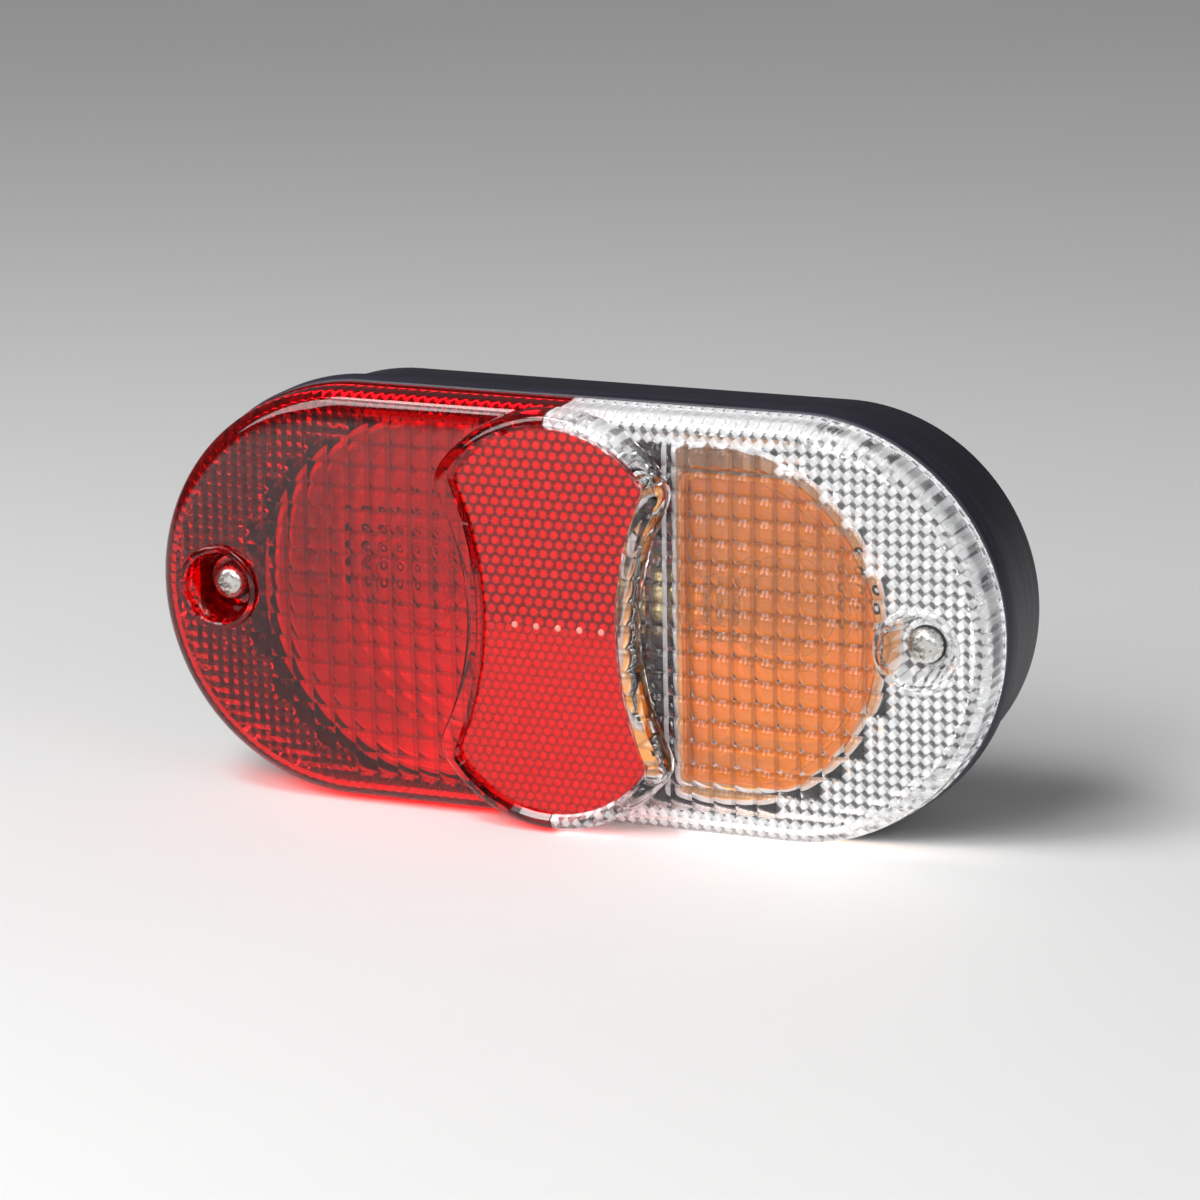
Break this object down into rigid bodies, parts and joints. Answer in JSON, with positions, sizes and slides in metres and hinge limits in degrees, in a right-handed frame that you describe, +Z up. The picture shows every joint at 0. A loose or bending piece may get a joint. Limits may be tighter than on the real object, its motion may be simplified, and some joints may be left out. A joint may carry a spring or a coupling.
{
  "type": "trailer tail light",
  "caption": "Stadium-shaped trailer tail light: red and clear lens halves, hourglass reflector, amber inner filter, bulbs in bayonet sockets, two-tier black housing.",
  "frame": {"origin": "centre of the flat back of the rubber mounting pad", "axes": "+X to the right of someone facing the lamp, +Y into the vehicle, +Z up"},
  "size_m": [0.2098, 0.055, 0.0998],
  "materials": {
    "black_plastic": "matte moulded black, fine grain",
    "black_rubber": "matte",
    "red_plastic": "transparent red, gloss outside, pillow and pyramid optics inside",
    "clear_plastic": "transparent colourless, gloss outside, pillow and pyramid optics inside",
    "red_reflex": "transparent red with cube-corner prisms",
    "amber_plastic": "transparent amber",
    "silver": "vacuum-coated silver",
    "grey_plastic": "matte",
    "stainless": "bright",
    "zinc": "zinc plated",
    "brass": "bright",
    "phenolic": "tan laminate",
    "spring_steel": "bright",
    "bulb_glass": "clear",
    "bulb_black": "black glass",
    "solder": "tinned"
  },
  "bodies": {
    "base": {"housing": "black_plastic", "mounting_pad": "black_rubber", "lens_seal": "black_rubber", "cable_grommet": "black_rubber", "fixing_bush_left": "black_rubber", "fixing_bush_right": "black_rubber", "screw_insert_left": "brass", "screw_insert_right": "brass", "reflector_tray_left": "silver", "reflector_tray_right": "silver", "holder_bracket": "zinc", "bracket_rivet_upper": "zinc", "bracket_rivet_lower": "zinc", "earth_tab": "brass", "socket_tail": "brass", "socket_indicator": "brass", "socket_spring_tail": "spring_steel", "socket_spring_indicator": "spring_steel"},
    "lens": {"lens_red": "red_plastic", "lens_clear": "clear_plastic", "reflex_reflector": "red_reflex", "reflector_backing": "grey_plastic", "amber_filter": "amber_plastic"},
    "screw_travel_left": {"screw_washer_left": "black_rubber"},
    "screw_left": {"lens_screw_left": "stainless"},
    "screw_travel_right": {"screw_washer_right": "black_rubber"},
    "screw_right": {"lens_screw_right": "stainless"},
    "contacts_tail": {"contact_disc_tail": "phenolic", "contact_tail": "brass", "contact_stop": "brass"},
    "bulb_tail": {"bulb_tail_glass": "bulb_glass", "bulb_tail_cap": "brass", "bulb_tail_base": "bulb_black", "bulb_tail_mount": "bulb_glass", "button_tail": "solder", "button_stop": "solder"},
    "contacts_indicator": {"contact_disc_indicator": "phenolic", "contact_indicator": "brass"},
    "bulb_indicator": {"bulb_indicator_glass": "bulb_glass", "bulb_indicator_cap": "brass", "bulb_indicator_base": "bulb_black", "bulb_indicator_mount": "bulb_glass", "button_indicator": "solder"}
  },
  "joints": [
    {"name": "lens_lift", "type": "slide", "parent": "base", "child": "lens", "axis": [0, -1, 0], "range_m": [0, 0.06]},
    {"name": "screw_left_travel", "type": "slide", "parent": "lens", "child": "screw_travel_left", "axis": [0, -1, 0], "range_m": [0, 0.0098]},
    {"name": "screw_left_turn", "type": "hinge", "parent": "screw_travel_left", "child": "screw_left", "pos_m": [-0.0874, -0.042, 0], "axis": [0, -1, 0], "range_deg": [0, 5040]},
    {"name": "screw_right_travel", "type": "slide", "parent": "lens", "child": "screw_travel_right", "axis": [0, -1, 0], "range_m": [0, 0.0098]},
    {"name": "screw_right_turn", "type": "hinge", "parent": "screw_travel_right", "child": "screw_right", "pos_m": [0.0874, -0.042, 0], "axis": [0, -1, 0], "range_deg": [0, 5040]},
    {"name": "tail_push", "type": "slide", "parent": "base", "child": "contacts_tail", "axis": [1, 0, 0], "range_m": [0, 0.0015], "stiffness_N_per_m": 600, "springref_m": -0.003, "deforming": ["socket_spring_tail"]},
    {"name": "tail_twist", "type": "hinge", "parent": "contacts_tail", "child": "bulb_tail", "pos_m": [-0.0155, -0.024, 0], "axis": [-1, 0, 0], "range_deg": [0, 22]},
    {"name": "indicator_push", "type": "slide", "parent": "base", "child": "contacts_indicator", "axis": [-1, 0, 0], "range_m": [0, 0.0015], "stiffness_N_per_m": 600, "springref_m": -0.003, "deforming": ["socket_spring_indicator"]},
    {"name": "indicator_twist", "type": "hinge", "parent": "contacts_indicator", "child": "bulb_indicator", "pos_m": [0.0155, -0.024, 0], "axis": [1, 0, 0], "range_deg": [0, 22]}
  ],
  "couplings": [
    {"joint": "screw_left_turn", "follows": "screw_left_travel", "rad_per_m": 8976},
    {"joint": "screw_right_turn", "follows": "screw_right_travel", "rad_per_m": 8976}
  ]
}
